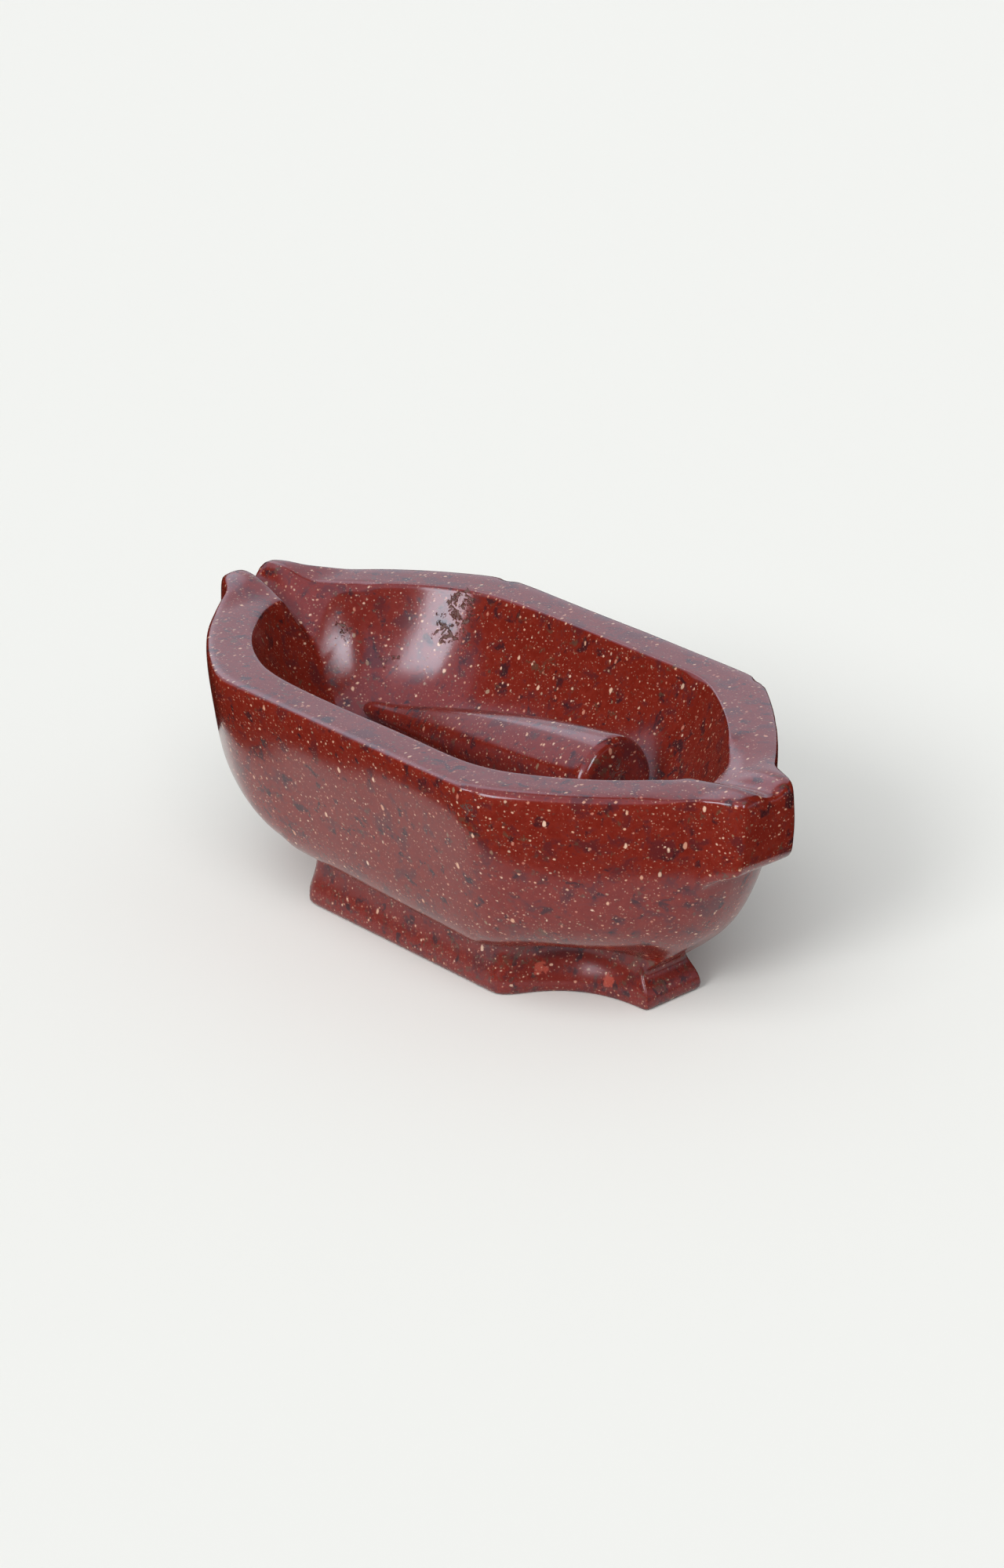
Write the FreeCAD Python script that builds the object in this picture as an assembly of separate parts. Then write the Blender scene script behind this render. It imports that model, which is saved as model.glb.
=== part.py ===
# Boat-shaped stone mortar with its loose pestle.
# The long axis is X, from spout to spout. Z is up, and z = 0 is the face it stands on.
# Everything is drawn about the middle of the basin, and moved at the end so that the origin
# is under the middle of the whole mortar. Units are millimetres.
import FreeCAD, Part
import math
import os

from FreeCAD import Vector

os.makedirs("parts", exist_ok=True)

# ---- driving dimensions ----
rim_z = 81.2              # flat of the rim above the table
floor_z = 41.8            # lowest point of the basin
basin_corner = (45.0, 48.0)   # where the straight long wall of the basin ends, at the rim
basin_tip = (93.5, 8.5)       # half of the narrow end of the basin, at the rim
basin_bow = 6.8               # how far the basin's end panels bow outwards, at the rim

# The four end panels were carved by eye: each quarter bows by its own share.
# In order: front right, back right, back left, front left.
quarter_bow = (0.78, 0.50, 1.00, 1.00)

# Spouts: end face from the middle, top above the table, half width where the hollow flanks start,
# middle of the pour channel across the spout, and half width of the channel at the spout's top.
right_spout = {"end": 120.8, "top": 82.6, "root_half": 24.6, "channel_y": 0.6, "channel_half": 5.2}
left_spout = {"end": 119.0, "top": 84.4, "root_half": 27.0, "channel_y": 2.0, "channel_half": 3.8}
spout_root_x = 98.0
spout_foot_z = 48.0
spout_half_width = 12.9
channel_depth = 6.0       # pour channel below the spout's top, at the end face
channel_root_depth = 9.0  # and below the rim, where it meets the basin

pestle_length = 117.0
pestle_radius = 15.6
pestle_end_round = 2.2    # radius of the edge round the flat end
pestle_nose = 2.4         # radius of the rounded point
pestle_pitch = 5.4        # degrees that the axis rises towards the flat end
pestle_side_y = 6.5       # its axis lies this far from the middle of the basin
pestle_end_x = 50.6       # centre of its flat end
pestle_clearance = 0.3    # gap left under the pestle

# Stations of the hull: z, corner x, corner y, keel x, keel half-width, bow of the end panels.
hull_stations = [
    (6.0, 16.0, 12.0, 70.0, 8.5, -7.0),
    (9.5, 26.0, 22.0, 78.4, 9.0, -7.5),
    (12.5, 34.0, 31.0, 82.4, 9.0, -7.5),
    (16.0, 40.0, 39.5, 86.9, 9.0, -5.0),
    (20.0, 44.0, 45.4, 91.6, 9.0, 0.2),
    (26.0, 48.4, 49.3, 97.5, 9.0, 5.0),
    (34.0, 51.6, 52.0, 102.6, 9.0, 7.6),
    (44.0, 54.0, 54.4, 107.0, 9.2, 7.8),
    (54.0, 55.6, 56.9, 110.0, 9.5, 7.0),
    (64.0, 56.5, 59.4, 111.2, 9.8, 6.4),
    (73.0, 57.0, 61.4, 111.6, 10.0, 6.2),
    (rim_z, 57.0, 62.7, 111.8, 10.2, 6.2),
]

# Stations of the foot: z, corner x, corner y, tip x, tip half-width, bow of its hollow ends.
foot_stations = [
    (0.0, 45.0, 37.4, 82.2, 11.4, -8.0),
    (2.6, 46.0, 38.4, 83.2, 12.0, -8.2),
    (7.0, 45.4, 37.4, 81.2, 11.2, -8.2),
    (11.0, 44.8, 36.4, 78.4, 10.0, -8.2),
    (18.0, 44.2, 35.6, 76.6, 9.4, -8.2),
]


def bowed_outline(z, corner, tip, bow):
    """Closed eight-sided outline with straight long sides and ends, and bowed end panels."""
    cx, cy = corner
    tx, ty = tip
    span = math.hypot(tx - cx, cy - ty)
    edges = []
    quarters = ((1, -1, True), (1, 1, False), (-1, 1, True), (-1, -1, False))
    for (sx, sy, outward), share in zip(quarters, quarter_bow):
        out = bow * share if bow > 0 else bow
        a = Vector(sx * cx, sy * cy, z)
        m = Vector(sx * ((cx + tx) / 2 + out * (cy - ty) / span),
                   sy * ((cy + ty) / 2 + out * (tx - cx) / span), z)
        b = Vector(sx * tx, sy * ty, z)
        start, end = (a, b) if outward else (b, a)
        edges.append(Part.Arc(start, m, end).toShape())
        next_point = Vector(b.x, -b.y, z) if outward else Vector(-a.x, a.y, z)
        edges.append(Part.LineSegment(end, next_point).toShape())
    return Part.Wire(edges)


def lofted(stations):
    wires = [bowed_outline(z, (cx, cy), (tx, ty), bow) for z, cx, cy, tx, ty, bow in stations]
    return Part.makeLoft(wires, True, False)


def prism(wire, direction):
    return Part.Face(wire).extrude(direction)


def spout_plan(z, end_x, flank_x, flank_y, half):
    """Plan of a spout at one level: hollow flanks that run out to a round-cornered end face."""
    flank = Vector(flank_x, flank_y, z)
    waist = Vector((flank_x + end_x) / 2 - 2.4, (flank_y + half) / 2 - 1.6, z)
    side = Vector(end_x - 4.2, half, z)
    corner = Vector(end_x - 1.0, half - 1.3, z)
    face = Vector(end_x, half - 4.1, z)

    def other(p):
        return Vector(p.x, -p.y, p.z)

    return Part.Wire([
        Part.Arc(other(flank), other(waist), other(side)).toShape(),
        Part.Arc(other(side), other(corner), other(face)).toShape(),
        Part.LineSegment(other(face), face).toShape(),
        Part.Arc(face, corner, side).toShape(),
        Part.Arc(side, waist, flank).toShape(),
        Part.LineSegment(flank, other(flank)).toShape(),
    ])


def make_spout(spout):
    """Spout block at +X: its tapering plan cut to its side profile."""
    end, top = spout["end"], spout["top"]
    root = spout["root_half"]
    block = Part.makeLoft([spout_plan(spout_foot_z, end, spout_root_x, root - 5, spout_half_width - 0.8),
                           spout_plan(top + 5, end, spout_root_x, root, spout_half_width)], True, True)
    y, inside_x = -40.0, spout_root_x - 6.0
    under = [Vector(inside_x, y, spout_foot_z), Vector(106.0, y, spout_foot_z),
             Vector(end - 7.4, y, 55.6), Vector(end - 4.6, y, 58.0)]
    front = [Vector(end - 0.7, y, 66.0), Vector(end, y, top - 3.6)]
    crown = [Vector(end - 3.6, y, top), Vector(end - 12.0, y, top)]
    back = [Vector(spout_root_x + 0.6, y, rim_z), Vector(inside_x, y, rim_z)]
    side = [Part.LineSegment(p, q).toShape() for p, q in zip(under, under[1:])]
    side += [
        Part.Arc(under[-1], Vector(end - 1.9, y, 61.4), front[0]).toShape(),
        Part.LineSegment(front[0], front[1]).toShape(),
        Part.Arc(front[1], Vector(end - 1.05, y, top - 1.05), crown[0]).toShape(),
        Part.LineSegment(crown[0], crown[1]).toShape(),
        Part.Arc(crown[1], Vector(end - 16.0, y, rim_z + 0.80 * (top - rim_z)), back[0]).toShape(),
        Part.LineSegment(back[0], back[1]).toShape(),
        Part.LineSegment(back[1], under[0]).toShape(),
    ]
    return block.common(prism(Part.Wire(side), Vector(0, 80, 0)))


def make_basin():
    """Hollow of the mortar: the rim outline drawn in level by level down to a flat floor."""
    wires = []
    for t in (0.0, 0.012, 0.045, 0.11, 0.22, 0.38, 0.58, 0.79, 1.0):
        along = 0.60 + 0.40 * t ** 0.37    # how much of the rim's length is left at this level
        across = 0.30 + 0.70 * t ** 0.45   # and of its width
        corner = (basin_corner[0] * along, basin_corner[1] * across)
        tip = (basin_tip[0] * along, basin_tip[1] * (0.75 + 0.25 * t))
        wires.append(bowed_outline(floor_z + t * (rim_z - floor_z), corner, tip, basin_bow * across))
    hollow = Part.makeLoft(wires, True, False)
    mouth = prism(bowed_outline(rim_z, basin_corner, basin_tip, basin_bow), Vector(0, 0, 10))
    return hollow.fuse(mouth)


def channel_section(x, bottom, spout):
    """V with a round bottom and sides that carry on above the spout."""
    slope = spout["channel_half"] / channel_depth
    high = spout["top"] + 3.0
    reach = slope * (high - bottom)
    y = spout["channel_y"]
    left, right = Vector(x, y - reach, high), Vector(x, y + reach, high)
    low_left, low_right = Vector(x, y - 1.4, bottom + 1.2), Vector(x, y + 1.4, bottom + 1.2)
    return Part.Wire([
        Part.LineSegment(left, low_left).toShape(),
        Part.Arc(low_left, Vector(x, y, bottom), low_right).toShape(),
        Part.LineSegment(low_right, right).toShape(),
        Part.LineSegment(right, left).toShape(),
    ])


def make_channel(spout):
    """Pour channel that runs from the basin out through the spout at +X."""
    root = channel_section(86.0, rim_z - channel_root_depth, spout)
    mouth = channel_section(spout["end"] + 4.0, spout["top"] - channel_depth, spout)
    return Part.makeLoft([root, mouth], True, True)


def at_left(shape):
    return shape.mirror(Vector(0, 0, 0), Vector(1, 0, 0))


def make_mortar():
    body = lofted(hull_stations).fuse([lofted(foot_stations), make_spout(right_spout),
                                       at_left(make_spout(left_spout))])
    body = body.cut([make_basin(), make_channel(right_spout), at_left(make_channel(left_spout))])
    return body.removeSplitter()


def pestle_r(s):
    """Radius of the pestle at a distance s from its point: a long ogive with a rounded nose."""
    left = 1 - s / pestle_length
    ogive = pestle_radius * (1 - left ** 1.75) ** 0.93
    nose = 2 * pestle_nose * s * math.exp(-s / 6.0)
    return math.sqrt(ogive ** 2 + nose)


def make_pestle():
    """Pestle with its point at the origin and its axis along +X, then laid in the basin."""
    shoulder = pestle_length - pestle_end_round
    steps = 16
    points = [Vector(0, 0, 0)]
    points += [Vector(shoulder * (k / steps) ** 2, 0, pestle_r(shoulder * (k / steps) ** 2))
               for k in range(1, steps + 1)]
    side = Part.BSplineCurve()
    side.interpolate(points)
    r = points[-1].z
    e = pestle_end_round
    bend = e * (1 - math.sqrt(0.5))
    rounded = Part.Arc(Vector(shoulder, 0, r), Vector(pestle_length - bend, 0, r - bend),
                       Vector(pestle_length, 0, r - e))
    outline = Part.Wire([
        side.toShape(),
        rounded.toShape(),
        Part.LineSegment(Vector(pestle_length, 0, r - e), Vector(pestle_length, 0, 0)).toShape(),
        Part.LineSegment(Vector(pestle_length, 0, 0), Vector(0, 0, 0)).toShape(),
    ])
    pestle = Part.Face(outline).revolve(Vector(0, 0, 0), Vector(1, 0, 0), 360)
    pestle.translate(Vector(-pestle_length, 0, 0))
    pestle.rotate(Vector(0, 0, 0), Vector(0, 1, 0), -pestle_pitch)
    pestle.translate(Vector(pestle_end_x, pestle_side_y, 0))
    lowest = pestle.optimalBoundingBox(False, False).ZMin
    pestle.translate(Vector(0, 0, floor_z + pestle_clearance - lowest))
    return pestle


mortar = make_mortar()
pestle = make_pestle()
to_middle = Vector((left_spout["end"] - right_spout["end"]) / 2, 0, 0)
for name, shape in (("mortar", mortar), ("pestle", pestle)):
    shape.translate(to_middle)
    shape.exportStep("parts/%s.step" % name)
    box = shape.optimalBoundingBox(False, False)
    print(name, "solids", len(shape.Solids), "valid", shape.isValid(), "volume", round(shape.Volume),
          "box", [round(v, 1) for v in (box.XMin, box.YMin, box.ZMin, box.XMax, box.YMax, box.ZMax)])
print("gap between mortar and pestle", round(mortar.distToShape(pestle)[0], 2))
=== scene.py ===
# Stone mortar with two spouts, and its pestle, carved by hand from a red porphyry and polished.
# Shapes are worked out in millimetres about the middle of the basin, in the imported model's frame.
from math import cos, pi, radians, sin

import bpy
import numpy as np
from mathutils import Matrix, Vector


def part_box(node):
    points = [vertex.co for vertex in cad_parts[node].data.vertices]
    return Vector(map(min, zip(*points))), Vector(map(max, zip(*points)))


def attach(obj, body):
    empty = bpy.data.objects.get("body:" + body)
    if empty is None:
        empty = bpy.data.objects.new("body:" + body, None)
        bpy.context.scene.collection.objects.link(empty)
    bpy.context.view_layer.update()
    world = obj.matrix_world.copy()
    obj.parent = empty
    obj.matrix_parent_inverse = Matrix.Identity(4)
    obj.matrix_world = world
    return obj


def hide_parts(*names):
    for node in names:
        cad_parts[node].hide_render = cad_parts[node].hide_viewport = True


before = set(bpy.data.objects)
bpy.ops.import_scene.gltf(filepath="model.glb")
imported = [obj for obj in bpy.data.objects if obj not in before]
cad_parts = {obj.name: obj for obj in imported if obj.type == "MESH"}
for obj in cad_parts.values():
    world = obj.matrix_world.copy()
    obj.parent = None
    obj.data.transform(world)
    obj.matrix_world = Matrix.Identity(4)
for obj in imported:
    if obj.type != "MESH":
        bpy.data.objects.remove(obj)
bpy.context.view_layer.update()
millimetre = 0.001
mortarLow, mortarHigh = [np.array(corner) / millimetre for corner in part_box("mortar")]
pestleLow, pestleHigh = [np.array(corner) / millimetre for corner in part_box("pestle")]
scene = bpy.context.scene
print("frame loaded, mortar", mortarLow.round(1), mortarHigh.round(1))

mortar = {
    "rim": 81.2,             # flat of the rim above the table
    "floor": 41.8,           # lowest point of the basin
    "basinCorner": (45.0, 48.0),
    "basinTip": (93.5, 8.5),
    "basinBow": 6.8,
    "spine": 48.0,           # half of the middle line that the columns fan out from
    "quarterBow": (0.78, 0.50, 1.00, 1.00),   # front right, back right, back left, front left
    "cornerSoftness": 3.0,   # how far the upright creases are rubbed round
    "tipSoftness": 5.0,
    "footSoftness": 1.2,
    "footTop": 22.0,         # the foot is lost inside the hull above this
    "joinSoftness": (1.6, 1.0),   # of the foot with the hull, and of the spouts with both
    "sideColumns": 30,       # columns along half of a long side
    "panelColumns": 50,      # along an end panel
    "spoutColumns": 36,      # from a spout's flank to the middle of its face
}

# each spout: its end, its top, where its flank starts, the pour channel and how round it is worn
rightSpout = {
    "end": 120.8, "top": 83.4, "flank": 24.6, "cornerRound": 2.0, "channelDent": 0.4,
    "channelY": (-1.0, 0.8), "channelDepth": 3.8, "fall": (0.06, 0.0030), "slopes": (1.1, 1.1, 0.62, 0.62),
    "cutSoftness": (1.4, 3.0), "lobeDrop": (2.4, 1.0), "wear": 0.1,
}
leftSpout = {
    "end": 119.0, "top": 85.2, "flank": 27.0, "cornerRound": 4.0, "channelDent": 1.5,
    "channelY": (1.5, 2.5), "channelDepth": 6.4, "fall": (0.25, 0.0035), "slopes": (1.5, 2.6, 1.0, 2.2),
    "cutSoftness": (1.0, 2.5), "lobeDrop": (1.2, 0.6), "wear": 0.22,
}
spoutRoot = {
    "x": 98.0,               # where the hollow flanks start, and sag is how hollow they are
    "sag": 1.6,
    "foot": 48.0,            # where the underside meets the hull
    "nose": 106.0,           # reach of the underside there
    "underside": ((48.0, 53.0, 56.6, 58.0, 60.5, 66.0, 79.0), (-2, 3.0, 11.6, 13.2, 14.0, 14.4, 14.8)),
    "level": 62.0,           # height from which each spout has its own end
    "half": (12.1, 12.9),    # half width of the end face at the foot and at the top
    "draft": 5.0,            # how far the flanks draw in towards the foot
    "cornerCut": 4.2,        # the flanks stop this far short of the end face
    "edgeRound": 3.6,
    "dentWidth": 2.8,
    "crownStart": 97.0,      # the rim starts to rise here, and levels off this far short of the end
    "crownStop": 7.0,
}
# the pour channels, by the distance back from the end of the spout
channel = {
    "reach": 33.0,           # the values for the root hold from here on
    "steeper": (18, 34),     # the near slope changes over this stretch
    "rub": (12, 30, 8.0),    # and the far edge grows rounder over this one, by this much
    "liftFrom": 36.0,        # the cut climbs out of the basin's wall from here, by this slope
    "lift": 1.4,
    "innerX": 60.0,          # nothing is cut nearer the middle than this
}
# share of its size at the rim that the basin keeps at its floor, and the power by which the rest grows
basinShape = {"along": (0.60, 0.37), "across": (0.30, 0.45), "corner": (0.38, 0.5), "tipHalf": (0.75, 1.0)}
# how far its corners are rounded at the rim, how much more at the floor, and the power of the change
basinRound = {"corner": (4.0, 8.0, 0.8), "tip": (4.0, 14.0, 0.8)}

# rows of the grid on each stretch, from the middle of the base over the rim to the middle of the floor
mortarRows = {"bottom": 60, "outside": 330, "top": 60, "inside": 260, "ground": 60}
outerEdgeRow = mortarRows["bottom"] + mortarRows["outside"] - 2
# first row, last row and how many of them the mesh keeps
keptRows = ((0, 58, 8), (60, 388, 78), (391, 447, 26), (449, 705, 72), (709, 765, 10))

# edges rubbed round: averages over rows and columns, and where the stronger one takes over
rubbing = {
    "fresh": (3.2, 1.2),
    "worn": (13.0, 3.6),
    "change": (8, 3),
    "spoutX": (88, 108),
    "edge": 0.35,            # the rim's outer edge, this many rows to each side
    "edgeRows": 30,
    "edgeZ": (66, 74),
    "frontEdge": 0.9,        # its front right stretch
    "frontX": (52, 60, 96, 108),
    "mouth": 0.45,           # where the pour channels meet the basin
    "mouthX": (80, 86, 98, 106),
    "mouthY": (11, 17),
    "mouthZ": (56, 62),
    "mouthRow": 420,
}
carving = {"size": 0.28, "rimShare": 0.4, "inset": 0.3}

# z, corner x, corner y, keel x, keel half width, bow of the end panels
hullStations = np.array([
    (6.0, 16.0, 12.0, 70.0, 8.5, -7.0),
    (9.5, 26.0, 22.0, 78.4, 9.0, -7.5),
    (12.5, 34.0, 31.0, 82.4, 9.0, -7.5),
    (16.0, 40.0, 39.5, 86.9, 9.0, -5.0),
    (20.0, 44.0, 45.4, 91.6, 9.0, 0.2),
    (26.0, 48.4, 49.3, 97.5, 9.0, 5.0),
    (34.0, 51.6, 52.0, 102.6, 9.0, 7.6),
    (44.0, 54.0, 54.4, 107.0, 9.2, 7.8),
    (54.0, 55.6, 56.9, 110.0, 9.5, 7.0),
    (64.0, 56.5, 59.4, 111.2, 9.8, 6.4),
    (73.0, 57.0, 61.4, 111.6, 10.0, 6.2),
    (81.2, 57.0, 62.7, 111.8, 10.2, 6.2),
])
footStations = np.array([
    (0.0, 45.0, 37.4, 82.2, 11.4, -8.0),
    (2.6, 46.0, 38.4, 83.2, 12.0, -8.2),
    (7.0, 45.4, 37.4, 81.2, 11.2, -8.2),
    (11.0, 44.8, 36.4, 78.4, 10.0, -8.2),
    (18.0, 44.2, 35.6, 76.6, 9.4, -8.2),
])

# The carver's hull isn't level: how far its lower part is lifted, in the middle of the front and how much
# that changes along it, along the back, and under the ends; it fades out between the two heights.
hullLift = {"front": (1.6, 1.5), "back": 1.0, "ends": 1.8, "reach": 60.0, "endX": (50, 70), "z": (20, 50)}

# dents where the stone has chipped: x, y, z, radius, depth
chips = (
    (-57.0, 62.0, 81.0, 4.0, 1.3),
    (57.5, 62.5, 80.5, 4.5, 1.9),
    (61.5, 60.0, 81.5, 2.6, 1.1),
    (84.0, 43.0, 76.0, 4.2, 1.2),
    (57.5, -62.0, 80.0, 4.4, 0.9),
    (56.0, -61.0, 71.0, 3.2, 0.5),
    (46.0, -38.0, 2.0, 3.0, 0.8),
    (-46.0, -38.0, 3.5, 3.2, 0.8),
    (84.0, -11.0, 4.0, 3.0, 0.7),
    (115.5, -12.6, 80.5, 2.4, 0.5),
)


def softMin(a, b, k):
    # the smaller of two lengths, with the change from one to the other rounded over k
    h = np.clip(0.5 + 0.5 * (b - a) / k, 0, 1)
    return b + (a - b) * h - k * h * (1 - h)


def softMax(a, b, k):
    return -softMin(-a, -b, k)


def easeBetween(low, high, value):
    # 0 below low, 1 above high, and an S in between
    t = np.clip((value - low) / (high - low), 0, 1)
    return t * t * (3 - 2 * t)


def riseAndFall(ends, value):
    # rises from 0 to 1 between the first two ends and falls back between the last two
    return easeBetween(ends[0], ends[1], value) * (1 - easeBetween(ends[2], ends[3], value))


def smoothAlong(values, sigma, axis, closed):
    # Gaussian average along one axis of a grid; an open axis repeats its end values
    reach = int(3 * sigma + 1)
    weights = np.exp(-0.5 * (np.arange(-reach, reach + 1) / sigma) ** 2)
    weights /= weights.sum()
    pad = [(0, 0)] * values.ndim
    pad[axis] = (reach, reach)
    padded = np.pad(values, pad, mode="wrap" if closed else "edge")
    size = values.shape[axis]
    parts = [w * np.take(padded, range(k, k + size), axis) for k, w in enumerate(weights)]
    return np.sum(parts, axis=0)


def smoothGrid(points, sigmas):
    rows, columns = sigmas
    return smoothAlong(smoothAlong(points, rows, 1, False), columns, 0, True)


def splineRows(stations, count):
    # natural cubic curve through the rows of a table, as many points as asked for
    n = len(stations)
    system = np.diag(np.full(n, 4.0)) + np.diag(np.ones(n - 1), 1) + np.diag(np.ones(n - 1), -1)
    system[0, :2] = (1, 0)
    system[-1, -2:] = (0, 1)
    right = np.zeros_like(stations)
    right[1:-1] = 6 * (stations[2:] - 2 * stations[1:-1] + stations[:-2])
    bend = np.linalg.solve(system, right)
    t = np.linspace(0, n - 1, count)
    k = np.minimum(t.astype(int), n - 2)
    u = (t - k)[:, None]
    a, b = stations[k], stations[k + 1]
    ma, mb = bend[k], bend[k + 1]
    return a + (b - a) * u - u * (1 - u) * ((2 - u) * ma + (1 + u) * mb) / 6


def stationsAt(stations, z):
    # corner x, corner y, tip x, tip half width and bow at any heights
    rows = splineRows(stations, 600)
    return [np.interp(z, rows[:, 0], rows[:, c]) for c in range(1, 6)]


class Columns:
    # The columns of the grid, counter-clockwise from +X. A column starts on the middle line, at baseX,
    # and looks along (dirX, dirY). Its twin in the quarter +X +Y gives the distances.
    def __init__(self, spine, sideCount, panelCount, spoutCount):
        spoutFan = np.linspace(0, 24, spoutCount, endpoint=False)
        panelFan = np.linspace(24, 90, panelCount, endpoint=False)
        fan = np.radians(np.concatenate([spoutFan, panelFan]))
        fan = smoothAlong(fan, 6, 0, False)
        fan[0] = 0
        side = spine * (1 - np.arange(sideCount) / sideCount)
        base = np.concatenate([np.full(len(fan), spine), side])
        turn = np.concatenate([fan, np.full(sideCount, pi / 2)])
        base = np.concatenate([base, [0.0], -base[:0:-1]])
        turn = np.concatenate([turn, [pi / 2], pi - turn[:0:-1]])
        self.baseX = np.concatenate([base, -base])[:, None]
        self.turn = np.concatenate([turn, turn + pi])
        self.dirX = np.cos(self.turn)[:, None]
        self.dirY = np.sin(self.turn)[:, None]
        self.count = len(self.turn)
        right = (self.dirX > 1e-9) | ((np.abs(self.dirX) <= 1e-9) & (self.baseX > 0))
        front = self.dirY < 0
        shares = mortar["quarterBow"]
        self.right = right
        self.share = np.where(right, np.where(front, shares[0], shares[1]),
                              np.where(front, shares[3], shares[2]))
        self.share = smoothAlong(self.share, 4, 0, True)

    def outline(self, cornerX, cornerY, tipX, tipHalf, bow, cornerSoft, tipSoft):
        # distance to an eight-sided outline: long side, bowed end panel, narrow end
        baseX, dirX, dirY = np.abs(self.baseX), np.abs(self.dirX), np.abs(self.dirY)
        long = cornerY / np.maximum(dirY, 1e-6)
        end = (tipX - baseX) / np.maximum(dirX, 1e-6)
        panel = bowedLine(baseX, dirX, dirY, cornerX, cornerY, tipX, tipHalf,
                          np.where(bow > 0, bow * self.share, bow))
        return softMin(softMin(long, panel, cornerSoft), end, tipSoft)


def bowedLine(baseX, dirX, dirY, ax, ay, bx, by, bow):
    # Distance along a ray to the parabola from a to b that stands out by bow at its middle.
    # With s along the chord and h across it, h = 4 bow / L^2 * s * (L - s), a quadratic in the distance.
    length = np.hypot(bx - ax, by - ay)
    ex, ey = (bx - ax) / length, (by - ay) / length
    along, across = dirX * ex + dirY * ey, -dirX * ey + dirY * ex
    s0 = (baseX - ax) * ex - ay * ey
    h0 = -(baseX - ax) * ey - ay * ex
    k = 4 * bow / length ** 2
    square = k * along ** 2
    linear = across - k * along * (length - 2 * s0)
    constant = h0 - k * s0 * (length - s0)
    root = linear + np.sqrt(np.maximum(linear ** 2 - 4 * square * constant, 0))
    return np.where(root > 1e-6, -2 * constant / np.maximum(root, 1e-6), 1e3)


def spoutValue(right, name, pick=None):
    # a spout's value wherever right is true, and the other spout's elsewhere
    values = [leftSpout[name], rightSpout[name]]
    if pick is not None:
        values = [value[pick] for value in values]
    return np.where(right, values[1], values[0])


def crownHeight(x, y):
    # top of the stone: the rim, rising in an S to each spout's top
    right = x > 0
    top, end = spoutValue(right, "top"), spoutValue(right, "end")
    rise = easeBetween(spoutRoot["crownStart"], end - spoutRoot["crownStop"], np.abs(x))
    drop = np.where(y < 0, spoutValue(right, "lobeDrop", 0), spoutValue(right, "lobeDrop", 1))
    lean = easeBetween(3, 16, np.abs(y)) * easeBetween(94, 114, np.abs(x)) * drop
    return mortar["rim"] + (top - mortar["rim"]) * rise - lean


def channelHeight(x, y):
    # floor of the pour channels: a V with a round bottom, falling by a parabola from spout to basin
    height, softness = np.full(x.shape, 1e3), np.ones(x.shape)
    for spout, side in ((rightSpout, 1), (leftSpout, -1)):
        back = spout["end"] - side * x
        along = np.clip(1 - back / channel["reach"], 0, 1)
        bottom = spout["top"] - spout["channelDepth"] - spout["fall"][0] * back - spout["fall"][1] * back ** 2
        bottom = bottom + channel["lift"] * np.maximum(back - channel["liftFrom"], 0)
        off = y - spout["channelY"][0] * (1 - along) - spout["channelY"][1] * along
        nearRoot, nearEnd, farRoot, farEnd = spout["slopes"]
        near = nearEnd + (nearRoot - nearEnd) * easeBetween(*channel["steeper"], back)
        slope = np.where(off < 0, near, farRoot + (farEnd - farRoot) * along)
        rise = np.sqrt((slope * off) ** 2 + 1.0) - 1.0
        nearSoft, farSoft = spout["cutSoftness"]
        farSoft = farSoft + channel["rub"][2] * easeBetween(*channel["rub"][:2], back)
        inside = side * x > channel["innerX"]
        height = np.where(inside, bottom + rise, height)
        softness = np.where(inside, np.where(off < 0, nearSoft, farSoft), softness)
    return height, softness


def outsideDistance(columns, z):
    # distance from the middle line to the outside of the stone: the foot, the hull and the spouts joined
    front = columns.dirY < 0
    endPanel = easeBetween(*hullLift["endX"], np.abs(columns.baseX + columns.dirX * hullLift["reach"]))
    middle, change = hullLift["front"]
    along = np.clip(columns.baseX / mortar["spine"], -1, 1)
    lift = np.where(front, middle - change * along, hullLift["back"])
    lift = smoothAlong(lift * (1 - endPanel) + hullLift["ends"] * endPanel, 5, 0, True)
    fade = 1 - easeBetween(*hullLift["z"], z)
    cornerX, cornerY, tipX, tipHalf, bow = stationsAt(hullStations, z - lift * fade)
    hull = columns.outline(cornerX, cornerY, tipX, tipHalf, bow, mortar["cornerSoftness"],
                           mortar["tipSoftness"])
    hull = np.where(z - lift * fade > hullStations[0, 0], hull, 0)
    cornerX, cornerY, tipX, tipHalf, bow = stationsAt(footStations, z)
    soft = mortar["footSoftness"]
    foot = columns.outline(cornerX, cornerY, tipX, tipHalf, bow, soft, soft)
    foot = foot - 1e3 * (z > mortar["footTop"])
    footJoin, spoutJoin = mortar["joinSoftness"]
    return softMax(softMax(hull, foot, footJoin), spoutDistance(columns, z), spoutJoin)


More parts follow.
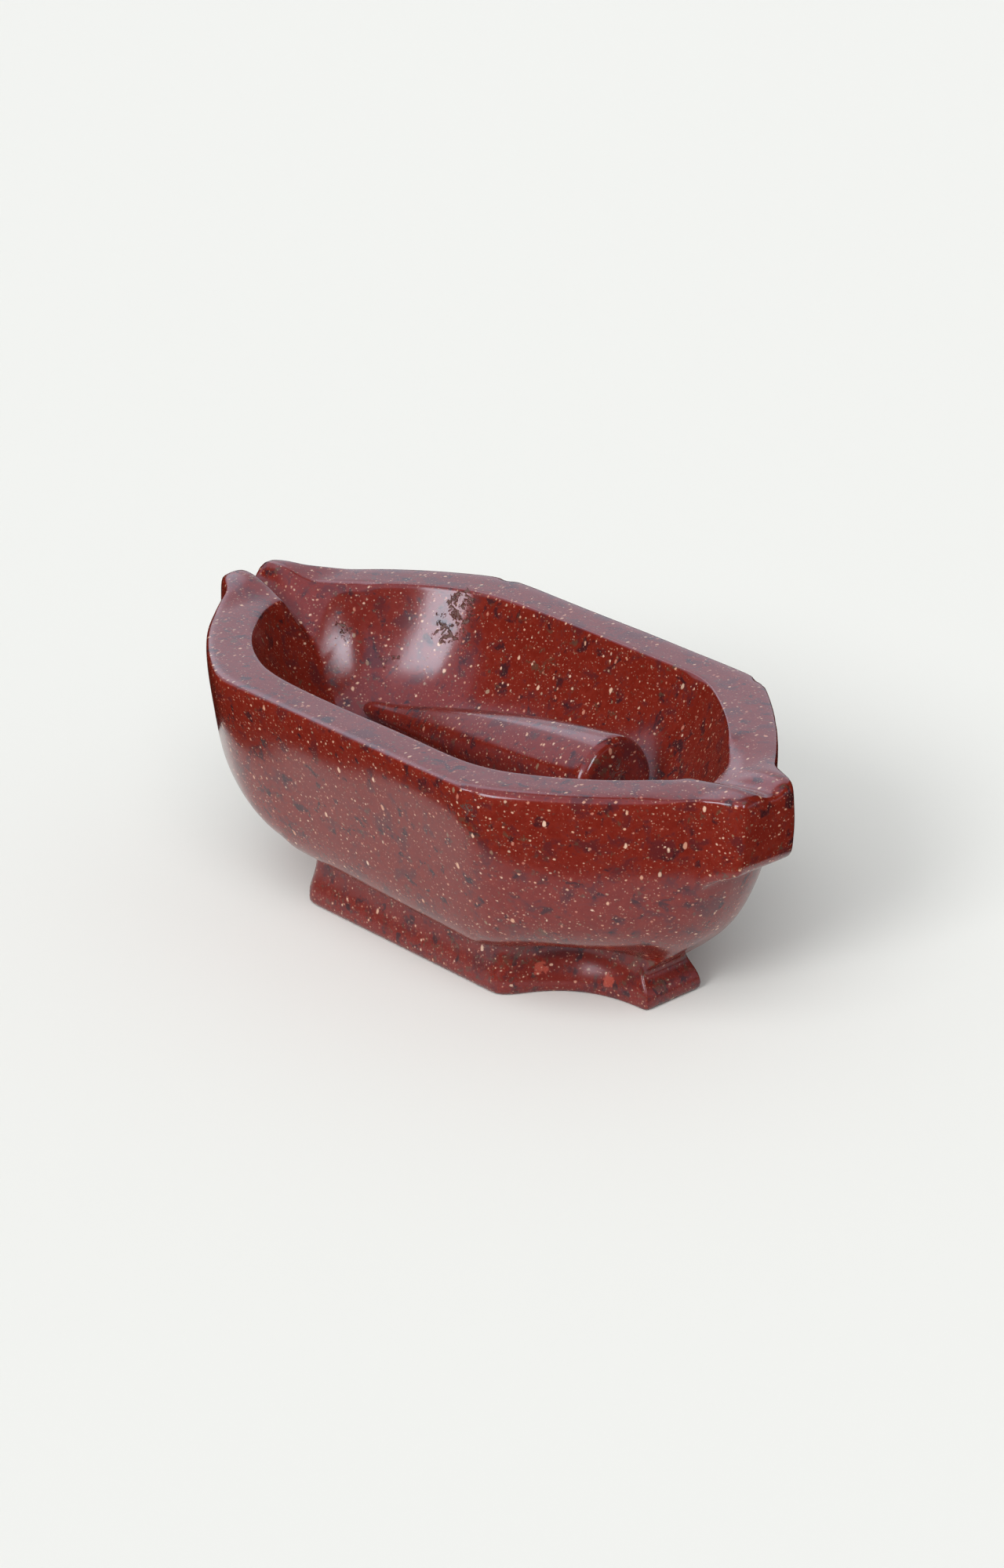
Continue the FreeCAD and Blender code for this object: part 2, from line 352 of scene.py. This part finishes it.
def spoutDistance(columns, z):
    # a spout: hollow flanks and an end face, cut off below by its sloping underside
    baseX, dirX, dirY = np.abs(columns.baseX), np.abs(columns.dirX), np.abs(columns.dirY)
    end, top, flank = [spoutValue(columns.right, name) for name in ("end", "top", "flank")]
    level = np.clip((z - spoutRoot["foot"]) / (top - spoutRoot["foot"]), 0, 1)
    half = spoutRoot["half"][0] + (spoutRoot["half"][1] - spoutRoot["half"][0]) * level
    start = flank - spoutRoot["draft"] * (1 - level)
    side = bowedLine(baseX, dirX, dirY, spoutRoot["x"], start, end - spoutRoot["cornerCut"], half,
                     -spoutRoot["sag"])
    rootTurn = np.arctan2(start, spoutRoot["x"] - baseX)
    turn = np.arctan2(dirY, dirX)
    side = side - 60 * np.maximum(turn - rootTurn, 0) ** 2
    nose = spoutRoot["nose"] + np.interp(z, *spoutRoot["underside"])
    nose = nose + (end - rightSpout["end"]) * easeBetween(spoutRoot["foot"], spoutRoot["level"], z)
    y = (nose - baseX) * dirY / np.maximum(dirX, 1e-3) * np.sign(columns.dirY)
    off = (y - spoutValue(columns.right, "channelY", 1)) / spoutRoot["dentWidth"]
    dent = spoutValue(columns.right, "channelDent") * np.exp(-off ** 2)
    nose = nose - dent * easeBetween(66, 80, z)
    edgeRound = spoutRoot["edgeRound"]
    over = np.maximum(z - (top - edgeRound), 0)
    nose = nose - edgeRound + np.sqrt(np.maximum(edgeRound ** 2 - over ** 2, 0.2))
    face = (nose - baseX) / np.maximum(dirX, 1e-6)
    spout = softMin(side, face, spoutValue(columns.right, "cornerRound"))
    return np.where((z > spoutRoot["foot"]) & (turn < rootTurn + 0.5), spout, 0)


def insideDistance(columns, depth):
    # distance to the wall of the basin; depth runs from 0 at the floor to 1 at the rim
    def grown(name):
        kept, power = basinShape[name]
        return kept + (1 - kept) * depth ** power

    def rounded(name):
        least, more, power = basinRound[name]
        return least + more * (1 - depth) ** power

    cornerX, cornerY = mortar["basinCorner"]
    tipX, tipHalf = mortar["basinTip"]
    return columns.outline(cornerX * grown("corner"), cornerY * grown("across"), tipX * grown("along"),
                           tipHalf * grown("tipHalf"), mortar["basinBow"] * grown("across"),
                           rounded("corner"), rounded("tip"))


def evenRows(points, count):
    # the same columns with their points spread evenly along each
    step = np.linalg.norm(np.diff(points, axis=1), axis=2)
    run = np.concatenate([np.zeros((len(step), 1)), np.cumsum(step, axis=1)], axis=1)
    run /= run[:, -1:]
    want = np.linspace(0, 1, count)
    rows = [np.stack([np.interp(want, r, p[:, c]) for c in range(3)], axis=1) for r, p in zip(run, points)]
    return np.array(rows)


def placed(columns, distance, z):
    # points of a stretch of the grid, from each column's distance and height
    x = columns.baseX + columns.dirX * distance
    y = columns.dirY * distance
    return np.stack(np.broadcast_arrays(x, y, z), axis=2)


def cutChannels(points):
    # everything above the pour channels is cut down to them
    height, softness = channelHeight(points[..., 0], points[..., 1])
    cut = softMin(points[..., 2], height, softness)
    return np.concatenate([points[..., :2], cut[..., None]], axis=2)


def gridNormals(points):
    across = np.roll(points, -1, 0) - np.roll(points, 1, 0)
    along = np.gradient(points, axis=1)
    normal = np.cross(across, along)
    return normal / np.maximum(np.linalg.norm(normal, axis=2, keepdims=True), 1e-9)


def carvedWaves(points, size):
    # slow waves left by hand carving: sines of three crossing directions
    x, y, z = points[..., 0], points[..., 1], points[..., 2]
    first = np.sin(x / 9.7 + 1.3 * np.sin(z / 13.0 + 0.4)) * np.sin(z / 8.3 + y / 17.0 + 0.9)
    second = np.sin(x / 17.3 - y / 12.1 + 2.1) * np.cos(z / 11.9 - x / 29.0)
    return size * (0.55 * first + 0.45 * second)


def wornAway(raw):
    # how much of the stronger average each point of the grid takes
    x, y, z = raw[..., 0], raw[..., 1], raw[..., 2]
    row = np.arange(raw.shape[1])
    spouts = easeBetween(*rubbing["spoutX"], np.abs(x)) * spoutValue(x >= 0, "wear")
    edge = np.abs(row - outerEdgeRow) < rubbing["edgeRows"]
    front = rubbing["frontEdge"] * edge * riseAndFall(rubbing["frontX"], x) * (y < 0)
    wear = np.maximum(np.maximum(spouts, front), rubbing["edge"] * edge) * easeBetween(*rubbing["edgeZ"], z)
    mouth = riseAndFall(rubbing["mouthX"], np.abs(x)) * (1 - easeBetween(*rubbing["mouthY"], np.abs(y)))
    mouth = mouth * easeBetween(*rubbing["mouthZ"], z) * (row > rubbing["mouthRow"])
    return smoothGrid(np.maximum(wear, rubbing["mouth"] * mouth), rubbing["change"])


def freshGrid(columns):
    # the mortar as cut: each column runs from the middle of the base over the rim to the floor's middle
    rim, floor = mortar["rim"], mortar["floor"]
    edge = outsideDistance(columns, np.full((columns.count, 1), rim - 0.1))
    edgeTop = crownHeight(columns.baseX + columns.dirX * edge, columns.dirY * edge)
    wall = insideDistance(columns, np.ones((columns.count, 1)))
    wallTop = crownHeight(columns.baseX + columns.dirX * wall, columns.dirY * wall)
    z = np.linspace(0, 1, 700)[None, :] * edgeTop
    outside = placed(columns, outsideDistance(columns, z), z)
    bottomEdge = outsideDistance(columns, np.zeros((columns.count, 1)))
    bottom = placed(columns, bottomEdge * np.linspace(0, 1, 40)[None, :], np.zeros((1, 40)))
    base = np.concatenate([columns.baseX, 0 * columns.baseX], 1)[:, None]
    outEnd = np.linalg.norm(outside[:, -1:, :2] - base, axis=2)
    top = placed(columns, outEnd + (wall - outEnd) * np.linspace(0, 1, 60)[None, :], 0.0)
    top[..., 2] = crownHeight(top[..., 0], top[..., 1])
    depth = (1 - np.linspace(0, 1, 400)[None, :]) ** 2.2
    inside = placed(columns, insideDistance(columns, depth), floor + depth * (wallTop - floor))
    floorEdge = insideDistance(columns, np.zeros((columns.count, 1)))
    ground = placed(columns, floorEdge * np.linspace(1, 0, 40)[None, :], np.full((1, 40), floor))
    parts = {"bottom": bottom, "outside": cutChannels(outside), "top": cutChannels(top),
             "inside": cutChannels(inside), "ground": ground}
    even = [evenRows(part, mortarRows[name]) for name, part in parts.items()]
    return np.concatenate([even[0]] + [part[:, 1:] for part in even[1:]], axis=1)


def mortarGrid():
    columns = Columns(mortar["spine"], mortar["sideColumns"], mortar["panelColumns"], mortar["spoutColumns"])
    raw = freshGrid(columns)
    soft, worn = smoothGrid(raw, rubbing["fresh"]), smoothGrid(raw, rubbing["worn"])
    points = soft + (worn - soft) * wornAway(raw)[..., None]
    points[:, 0], points[:, -1] = raw[:, 0], raw[:, -1]
    kept = np.concatenate([np.linspace(*stretch) for stretch in keptRows])
    points = points[:, kept.round().astype(int)]
    normal = gridNormals(points)
    push = carvedWaves(points, carving["size"]) * easeBetween(1.5, 8, points[..., 2])
    rimFlat = easeBetween(0.6, 0.95, normal[..., 2]) * easeBetween(70, 78, points[..., 2])
    push = push * (1 - (1 - carving["rimShare"]) * rimFlat) - carving["inset"]
    for cx, cy, cz, radius, deep in chips:
        gap = np.linalg.norm(points - (cx, cy, cz), axis=2)
        push = push - deep * np.exp(-(gap / (0.6 * radius)) ** 2)
    push = push * easeBetween(0.0, 1.5, points[..., 2])
    return points + normal * push[..., None], columns


def closedMesh(name, points, poles):
    # Mesh of a grid closed round its first axis. The end rows shrink to the given pole points:
    # columns that share one share a vertex, and a face between them is a triangle.
    count, rows = points.shape[:2]
    first, firstIndex = np.unique(poles[0], axis=0, return_inverse=True)
    last, lastIndex = np.unique(poles[1], axis=0, return_inverse=True)
    middle = points[:, 1:-1].reshape(-1, 3)
    vertices = np.concatenate([first, middle, last])
    index = len(first) + np.arange(count * (rows - 2)).reshape(count, rows - 2)
    lastIndex = len(first) + len(middle) + lastIndex
    index = np.concatenate([firstIndex.reshape(-1, 1), index, lastIndex.reshape(-1, 1)], 1)
    ring = np.roll(index, -1, 0)
    faces = np.stack([index[:, :-1], ring[:, :-1], ring[:, 1:], index[:, 1:]], axis=2).reshape(-1, 4)
    pinchedLow = faces[:, 0] == faces[:, 1]
    pinchedHigh = faces[:, 2] == faces[:, 3]
    whole = faces[~(pinchedLow | pinchedHigh)].tolist()
    whole += faces[pinchedLow][:, 1:].tolist() + faces[pinchedHigh][:, :3].tolist()
    mesh = bpy.data.meshes.new(name)
    mesh.from_pydata((vertices * millimetre).tolist(), [], whole)
    mesh.validate()
    mesh.polygons.foreach_set("use_smooth", np.ones(len(mesh.polygons), bool))
    piece = bpy.data.objects.new(name, mesh)
    scene.collection.objects.link(piece)
    return piece


def makeMortar():
    points, columns = mortarGrid()
    shift = mortarLow[0] + leftSpout["end"]
    points[..., 0] += shift
    low = np.concatenate([columns.baseX + shift, 0 * columns.baseX, 0 * columns.baseX], axis=1).round(6)
    high = low + (0, 0, mortar["floor"])
    piece = closedMesh("mortar_body", points, (low, high))
    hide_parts("mortar")
    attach(piece, "mortar")
    print("mortar made,", len(piece.data.polygons), "faces")
    return piece


pestle = {
    "length": 117.0,
    "radius": 15.6,
    "endRound": 3.2,      # radius of the edge round the flat end
    "nose": 2.1,          # radius of the rounded point
    "pitch": 5.4,         # degrees that the axis rises towards the flat end
    "around": 168,
    "along": 109,         # rows from the point to the edge of the flat end
}


def makePestle():
    # radius at s from the point: an ogive R (1 - (1 - s/L)^1.75)^0.93 with a rounded nose; then the flat end
    length, radius, turnOver = pestle["length"], pestle["radius"], pestle["endRound"]
    k = np.linspace(0, 1, pestle["along"])
    s = (length - turnOver) * (0.35 * k + 0.65 * k ** 2)
    ogive = radius * (1 - (1 - s / length) ** 1.75) ** 0.93
    r = np.sqrt(ogive ** 2 + 2 * pestle["nose"] * s * np.exp(-s / 6.0))
    bend = np.linspace(0, pi / 2, 9)[1:]
    inward = np.linspace(1, 0, 10)[1:]
    s = np.concatenate([s, length - turnOver + turnOver * np.sin(bend), length + 0.0 * inward])
    r = np.concatenate([r, r[-1] - turnOver + turnOver * np.cos(bend), (r[-1] - turnOver) * inward])
    turn = np.linspace(0, 2 * pi, pestle["around"], endpoint=False)[:, None]
    # ground by hand: a little out of round, with long shallow flats
    flats = 1 - 0.012 * np.cos(5 * turn + 0.6 + s / 60) - 0.006 * np.cos(9 * turn - s / 35)
    reach = r * flats - 0.25 * np.minimum(r / 3, 1)
    x = np.broadcast_to(s, reach.shape) - length
    tilt = radians(pestle["pitch"])
    y, up = reach * np.cos(turn), reach * np.sin(turn)
    points = np.stack([x * cos(tilt) - up * sin(tilt), y, x * sin(tilt) + up * cos(tilt)], axis=2)
    points[:, -1] = points[:, -1].mean(0)
    centre = (pestleLow + pestleHigh) / 2
    size = (points.reshape(-1, 3).min(0), points.reshape(-1, 3).max(0))
    points = points + (pestleHigh[0] - size[1][0] - 0.2, centre[1] - (size[0][1] + size[1][1]) / 2,
                       pestleLow[2] - size[0][2] + 0.1)
    piece = closedMesh("pestle_body", points, (points[:, 0].round(6), points[:, -1].round(6)))
    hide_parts("pestle")
    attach(piece, "pestle")
    print("pestle made,", len(piece.data.polygons), "faces")
    return piece


class Wire:
    # a node's output that Python's operators work on
    def __init__(self, graph, socket):
        self.graph, self.socket = graph, socket

    def maths(self, operation, *values, clamp=False):
        return self.graph.node("ShaderNodeMath", {"operation": operation, "use_clamp": clamp},
                               dict(enumerate(values)))

    def __add__(self, other): return self.maths("ADD", self, other)
    def __radd__(self, other): return self.maths("ADD", other, self)
    def __sub__(self, other): return self.maths("SUBTRACT", self, other)
    def __rsub__(self, other): return self.maths("SUBTRACT", other, self)
    def __mul__(self, other): return self.maths("MULTIPLY", self, other)
    def __rmul__(self, other): return self.maths("MULTIPLY", other, self)
    def __truediv__(self, other): return self.maths("DIVIDE", self, other)
    def __rtruediv__(self, other): return self.maths("DIVIDE", other, self)
    def __pow__(self, other): return self.maths("POWER", self, other)
    def clamped(self): return self.maths("ADD", self, 0.0, clamp=True)


class Graph:
    def __init__(self, name):
        self.material = bpy.data.materials.new(name)
        self.material.use_nodes = True
        self.tree = self.material.node_tree
        self.tree.nodes.clear()

    def node(self, kind, settings=None, sockets=None, output=0):
        made = self.tree.nodes.new(kind)
        for name, value in (settings or {}).items():
            if name == "stops":
                setStops(made.color_ramp, value)
            else:
                setattr(made, name, value)
        for name, value in (sockets or {}).items():
            if isinstance(value, Wire):
                self.tree.links.new(value.socket, made.inputs[name])
            else:
                made.inputs[name].default_value = value
        return Wire(self, made.outputs[output]) if len(made.outputs) else made

    def blend(self, factor, first, second):
        return self.node("ShaderNodeMix", {"data_type": "RGBA"}, {0: factor, 6: first, 7: second}, 2)

    def noise(self, vector, scale, detail=3.0, roughness=0.5, distortion=0.0):
        return self.node("ShaderNodeTexNoise", {}, {"Vector": vector, "Scale": scale, "Detail": detail,
                                                    "Roughness": roughness, "Distortion": distortion})

    def vector(self, operation, first, second):
        return self.node("ShaderNodeVectorMath", {"operation": operation}, {0: first, 1: second})

    def step(self, value, low, high):
        # 0 below low, 1 above high, an S in between
        return self.node("ShaderNodeMapRange", {"interpolation_type": "SMOOTHSTEP"},
                         {"Value": value, "From Min": low, "From Max": high})

    def spot(self, place, centre, radius):
        # 1 at a place on the stone, falling to 0 at the radius
        gap = self.node("ShaderNodeVectorMath", {"operation": "DISTANCE"}, {0: place, 1: centre}, "Value")
        return self.step(gap, radius, radius * 0.15)


def setStops(ramp, stops):
    while len(ramp.elements) < len(stops):
        ramp.elements.new(0.5)
    for element, (position, colour) in zip(ramp.elements, stops):
        element.position = position
        element.color = colour


stone = {
    "deepRed": (0.150, 0.0115, 0.0055, 1),
    "brickRed": (0.190, 0.0190, 0.0095, 1),
    "wineRed": (0.085, 0.0120, 0.0130, 1),
    # dark clouds in the stone; the same colour also paints the shadow of the pestle's end on the basin's wall
    "darkCloudAndShadow": (0.026, 0.0080, 0.0110, 1),
    "brownCloud": (0.095, 0.0460, 0.0270, 1),
    "greyCloud": (0.062, 0.0360, 0.0280, 1),
    "salmon": (0.420, 0.0700, 0.0400, 1),
    "cream": (0.620, 0.335, 0.215, 1),
    "pink": (0.440, 0.150, 0.105, 1),
    "white": (0.720, 0.490, 0.360, 1),
    "dun": (0.240, 0.145, 0.090, 1),
    "roughness": 0.17,
    "shine": (0.85, 1.0, 1.18, 1),
    # crystals by size: spacing in mm, largest radius in mm, stretch, turn, how much they cover
    "crystals": (
        (0.95, 0.17, (1.0, 1.0, 1.4), (0.4, 0.2, 0.9), 0.50),
        (1.40, 0.26, (1.5, 1.0, 1.0), (1.1, 0.5, 0.3), 0.70),
        (2.30, 0.44, (1.0, 1.7, 1.0), (0.7, 1.3, 0.5), 0.85),
        (5.60, 0.72, (1.0, 1.0, 1.8), (0.3, 0.8, 1.7), 0.90),
    ),
}

# places on the mortar with marks of their own, in the mortar's millimetres
mortarMarks = {
    "worn": (((-59.4, 37.4, 69.3), 15.0), ((-59.1, 42.5, 78.0), 9.0), ((-86.2, 13.2, 66.0), 10.0),
             ((-72.0, 22.0, 58.0), 8.0), ((55.8, -60.5, 74.0), 6.0), ((-30.0, 40.0, 70.0), 6.0)),
    # the last dark mark, at (50, 31, 58), is a painted shadow where the pestle's end shades the basin's wall;
    # the other dark marks are dark clouds in the stone
    "dark": (((-34.0, 36.5, 57.3), 7.0), ((-36.0, 38.0, 61.0), 6.0), ((40.0, -51.8, 35.1), 2.6),
             ((119.3, 6.2, 78.0), 6.0), ((-115.8, 8.6, 82.3), 6.0), ((50.0, 31.0, 58.0), 13.0)),
    "brown": (((-20.9, 41.4, 65.5), 9.0), ((114.9, -11.9, 60.7), 9.0), ((67.9, -39.9, 30.1), 7.0),
              ((54.6, -59.4, 68.0), 8.0), ((44.2, -32.1, 14.9), 7.0), ((77.1, -9.0, 15.0), 8.0)),
    "salmon": (((49.4, -25.4, 7.8), 4.5), ((66.7, -13.3, 5.9), 4.5), ((62.0, -18.0, 2.5), 3.0)),
}
pestleMarks = {
    "worn": (((51.0, 6.0, 62.0), 13.0),),
    "dark": (((20.0, 0.0, 66.0), 3.0),),
    "brown": (((50.0, 2.0, 66.0), 9.0),),
    "salmon": (),
}


def stoneMaterial(name, marks, wearAmount):
    g = Graph(name)
    place = g.node("ShaderNodeTexCoord", {}, {}, "Object")
    place = g.vector("MULTIPLY", place, (1000.0, 1000.0, 1000.0))

    def marked(kind):
        total = 0.0
        for centre, radius in marks[kind]:
            total = g.spot(place, centre, radius) + total
        return total.clamped() if marks[kind] else 0.0

    foot = g.step(g.node("ShaderNodeSeparateXYZ", {}, {"Vector": place}, "Z"), 20.0, 8.0)
    slow = g.noise(place, 0.030, 3.0)
    patchy = g.noise(place, 0.13, 4.0, 0.6, 0.4)
    mottle = g.noise(g.vector("ADD", place, (11.0, -5.0, 23.0)), 0.42, 5.0, 0.66, 0.5)
    fine = g.noise(place, 1.1, 4.0, 0.62)
    ground = g.blend(g.step(0.6 * mottle + 0.4 * patchy, 0.40, 0.62), stone["deepRed"], stone["brickRed"])
    ground = g.blend(g.step(patchy + 0.4 * (mottle - 0.5), 0.50, 0.65) * 0.85, ground, stone["wineRed"])
    shade = g.noise(g.vector("ADD", place, (31.0, 7.0, 53.0)), 0.22, 4.0, 0.55, 0.35)
    # dark clouds in the stone, pulled in further by the dark marks; on the mortar one of those marks is a
    # painted shadow of the pestle's end on the basin's wall
    darkCloudAndShadowMask = g.step(shade + 0.10 * (patchy - 0.5) + 0.09 * marked("dark"), 0.575, 0.69)
    ground = g.blend(darkCloudAndShadowMask * 0.80, ground, stone["darkCloudAndShadow"])
    rust = g.noise(g.vector("ADD", place, (-17.0, 41.0, 9.0)), 0.34, 4.0, 0.6, 0.4)
    rustMask = g.step(rust + 0.09 * marked("brown") + foot * 0.04, 0.60, 0.71)
    ground = g.blend(rustMask * 0.75, ground, stone["brownCloud"])
    grey = g.noise(g.vector("ADD", place, (71.0, -13.0, 37.0)), 0.48, 2.5, 0.5, 0.2)
    ground = g.blend(g.step(grey + 0.12 * (slow - 0.5), 0.63, 0.76) * 0.6, ground, stone["greyCloud"])
    if marks["salmon"]:
        vein = g.step(0.7 * marked("salmon") + 1.5 * (mottle - 0.5), 0.42, 0.62)
        ground = g.blend(vein * 0.7, ground, stone["salmon"])

    warp = g.node("ShaderNodeTexNoise", {}, {"Vector": place, "Scale": 1.1, "Detail": 2.0}, "Color")
    bent = g.vector("ADD", place, g.vector("MULTIPLY", warp, (0.55, 0.55, 0.55)))
    colour = ground
    crystalMask = 0.0
    for spacing, radius, stretch, turn, cover in stone["crystals"]:
        turned = g.node("ShaderNodeMapping", {"vector_type": "POINT"},
                        {"Vector": bent, "Rotation": turn,
                         "Scale": tuple(1 / (spacing * s) for s in stretch)})
        cells = g.node("ShaderNodeTexVoronoi", {"voronoi_dimensions": "3D"}, {"Vector": turned, "Scale": 1.0})
        voronoi = cells.socket.node
        chance = g.node("ShaderNodeSeparateColor", {}, {"Color": Wire(g, voronoi.outputs["Color"])}, "Red")
        kind = Wire(g, chance.socket.node.outputs["Green"])
        size = (0.45 + 0.55 * chance) * (radius / spacing)
        mask = g.step(size - cells, -0.12 / spacing, 0.17 / spacing)
        tint = g.node("ShaderNodeValToRGB", {"stops": (
            (0.0, stone["pink"]), (0.38, stone["cream"]), (0.78, stone["white"]), (0.92, stone["dun"]))},
            {"Fac": kind})
        colour = g.blend(mask * cover, colour, tint)
        crystalMask = mask + crystalMask

    pitNoise = g.noise(g.vector("ADD", place, (3.0, 19.0, -7.0)), 0.36, 9.0, 0.72, 0.8)
    worn = g.step(0.70 * marked("worn") + 2.6 * (pitNoise - 0.5), 0.72, 0.86) if marks["worn"] else 0.0
    strayPits = g.step(pitNoise, 0.73, 0.77)
    pits = (worn * wearAmount + strayPits).clamped()
    colour = g.blend(pits * 0.8, colour, stone["brownCloud"])
    roughness = stone["roughness"] + 0.06 * (mottle - 0.5) + 0.05 * darkCloudAndShadowMask + 0.40 * pits + 0.10 * foot
    relief = 0.03 * patchy + 0.006 * fine - 0.22 * pits * (0.6 + 0.8 * fine) - 0.012 * crystalMask
    bump = g.node("ShaderNodeBump", {}, {"Strength": 0.9, "Distance": millimetre, "Height": relief})
    shader = g.node("ShaderNodeBsdfPrincipled", {}, {
        "Base Color": colour, "Roughness": roughness, "Normal": bump, "IOR": 1.5,
        "Specular Tint": stone["shine"]})
    g.node("ShaderNodeOutputMaterial", {}, {"Surface": shader})
    return g.material


studio = {
    "cameraAzimuth": 47.21,       # degrees from -Y towards +X
    "cameraElevation": 24.41,
    "cameraDistance": 1347.6,     # millimetres from the middle of the basin
    "cameraAcross": 3.92,
    "cameraUp": 40.7,
    "lens": 97.87,
    "floorColour": (0.86, 0.865, 0.835, 1),
    "table": (0.175, 0.112),      # half length and width of the part of the floor that the stone mirrors
    "room": (0.40, 0.405, 0.41, 1),
    # far lights that shade the stone and the floor: azimuth, elevation, how wide they look, strength
    "shadeLights": {
        "key": (14, 30, 20, 1.32),
        "front": (32, 48, 60, 1.80),
    },
    # cards that only shine in the polish: azimuth, elevation, turn, distance, width, height, watts, colour
    "shineLights": {
        "strip": (6, 33, 0, 1.9, 0.72, 0.78, 17.0, (1.0, 0.97, 0.94)),
        "corner": (84, 36, -30, 1.9, 0.42, 0.66, 10.0, (1.0, 0.97, 0.94)),
        "back": (-140, 33, 0, 1.8, 1.6, 1.8, 10.0, (0.93, 0.97, 1.10)),
        "backLeft": (-90, 42, 0, 1.8, 2.0, 1.15, 7.8, (0.93, 0.97, 1.10)),
        "overhead": (10, 74, 0, 2.0, 2.8, 2.8, 22.0, (0.93, 0.97, 1.10)),
        "low": (125, 14, 0, 2.0, 1.2, 0.5, 1.2, (0.93, 0.97, 1.10)),
    },
}


def direction(azimuth, elevation):
    a, e = radians(azimuth), radians(elevation)
    return np.array([sin(a) * cos(e), -cos(a) * cos(e), sin(e)])


def aimed(thing, place, back, roll=0):
    # puts a light or camera at a place, looking along minus back, turned by roll degrees
    right = np.cross((0, 0, 1), back)
    right /= np.linalg.norm(right)
    up = np.cross(back, right)
    c, s = cos(radians(roll)), sin(radians(roll))
    right, up = right * c + up * s, up * c - right * s
    rows = [(*row, at) for row, at in zip(np.stack([right, up, back], 1), place)]
    thing.matrix_world = Matrix(rows + [(0, 0, 0, 1)])


def makeCamera():
    back = direction(studio["cameraAzimuth"], studio["cameraElevation"])
    a = radians(studio["cameraAzimuth"])
    right = np.array([cos(a), sin(a), 0])
    up = np.cross(back, right)
    place = back * studio["cameraDistance"] + right * studio["cameraAcross"] + up * studio["cameraUp"]
    place[0] += mortarLow[0] + leftSpout["end"]
    data = bpy.data.cameras.new("camera")
    data.lens = studio["lens"]
    data.sensor_width = 36
    data.clip_end = 50
    camera = bpy.data.objects.new("camera", data)
    scene.collection.objects.link(camera)
    aimed(camera, place * millimetre, back)
    scene.camera = camera


def makeStage():
    # a pale floor, far lights that shade, cards that shine, and an even room that the polish doesn't mirror
    g = Graph("floor_paper")
    g.node("ShaderNodeOutputMaterial", {}, {"Surface": g.node("ShaderNodeBsdfPrincipled", {}, {
        "Base Color": studio["floorColour"], "Roughness": 0.9, "Specular IOR Level": 0.1})})
    halfX, halfY = studio["table"]
    turn = np.linspace(0, 2 * pi, 128, endpoint=False)
    edge = np.stack([np.cos(turn), np.sin(turn)], axis=1)
    near = edge * (halfX, halfY)
    rings = {"floor_near": (0 * near, near), "floor_far": (near, edge * 7)}
    for name, (inner, outer) in rings.items():
        vertices = [(x, y, 0) for x, y in np.concatenate([inner, outer]).tolist()]
        n = len(edge)
        faces = [(k, n + k, n + (k + 1) % n, (k + 1) % n) for k in range(n)]
        mesh = bpy.data.meshes.new(name)
        mesh.from_pydata(vertices, [], faces)
        mesh.materials.append(g.material)
        floor = bpy.data.objects.new(name, mesh)
        scene.collection.objects.link(floor)
        floor.visible_glossy = name == "floor_near"   # beyond the table's edge the stone mirrors a dark room
    world = bpy.data.worlds.new("studio")
    world.use_nodes = True
    world.node_tree.nodes["Background"].inputs["Color"].default_value = studio["room"]
    scene.world = world
    world.cycles_visibility.glossy = False
    for name, (azimuth, elevation, spread, strength) in studio["shadeLights"].items():
        data = bpy.data.lights.new(name, "SUN")
        data.angle = radians(spread)
        data.energy = strength
        light = bpy.data.objects.new(name, data)
        scene.collection.objects.link(light)
        aimed(light, direction(azimuth, elevation), direction(azimuth, elevation))
        light.visible_glossy = False
    for name, values in studio["shineLights"].items():
        azimuth, elevation, roll, distance, width, height, power, colour = values
        data = bpy.data.lights.new(name, "AREA")
        data.shape = "RECTANGLE"
        data.size, data.size_y = width, height
        data.energy = power
        data.color = colour
        light = bpy.data.objects.new(name, data)
        scene.collection.objects.link(light)
        back = direction(azimuth, elevation)
        aimed(light, back * distance, back, roll)
        light.visible_diffuse = False
    scene.view_settings.view_transform = "Standard"
    print("stage made")


mortarPiece = makeMortar()
mortarPiece.data.materials.append(stoneMaterial("mortar_porphyry", mortarMarks, 1.0))
pestlePiece = makePestle()
pestlePiece.data.materials.append(stoneMaterial("pestle_porphyry", pestleMarks, 0.6))
makeCamera()
makeStage()
